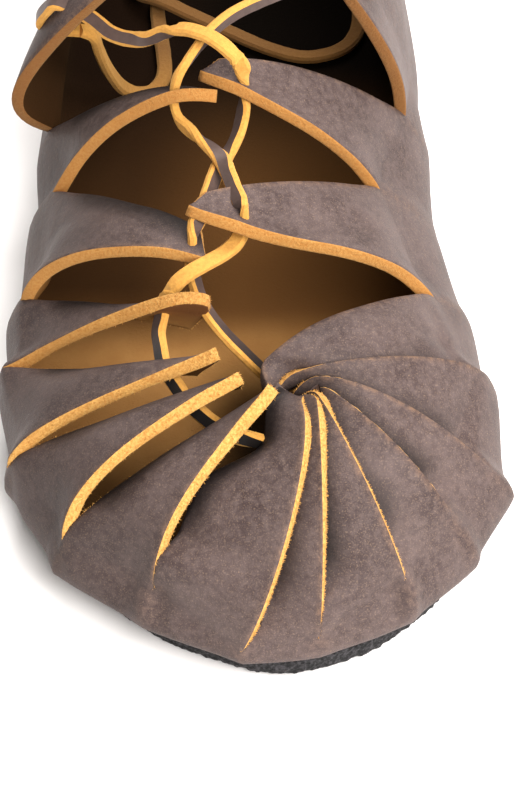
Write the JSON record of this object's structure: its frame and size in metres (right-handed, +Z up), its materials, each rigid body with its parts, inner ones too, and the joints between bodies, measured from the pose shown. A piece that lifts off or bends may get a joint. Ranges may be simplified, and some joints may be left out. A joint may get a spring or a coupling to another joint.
{
  "type": "leather sandal",
  "caption": "Laced sandal for the right foot: one thick oiled hide slit into straps and a fan of toe tabs, gathered by a leather thong over a thin rough rubber sole.",
  "frame": {"origin": "on the floor under the middle of the sandal's bounding box, its loose lace ends left out", "axes": "+X to the inner (big toe) side, +Y from the toe back to the heel, +Z up from the floor"},
  "size_m": [0.113, 0.2704, 0.086],
  "materials": {
    "hide": "oiled nubuck grain, raw ochre cut edges",
    "sole": "rough matt crepe",
    "lace": "flat thong, dark grain face and raw ochre sides"
  },
  "bodies": {
    "root": {"outsole": "sole", "upper": "hide", "lace_toe": "lace", "lace_cross_ball": "lace", "lace_cross_instep": "lace", "lace_cross_ankle": "lace", "lace_end_outer": "lace", "lace_end_inner": "lace"}
  },
  "joints": []
}
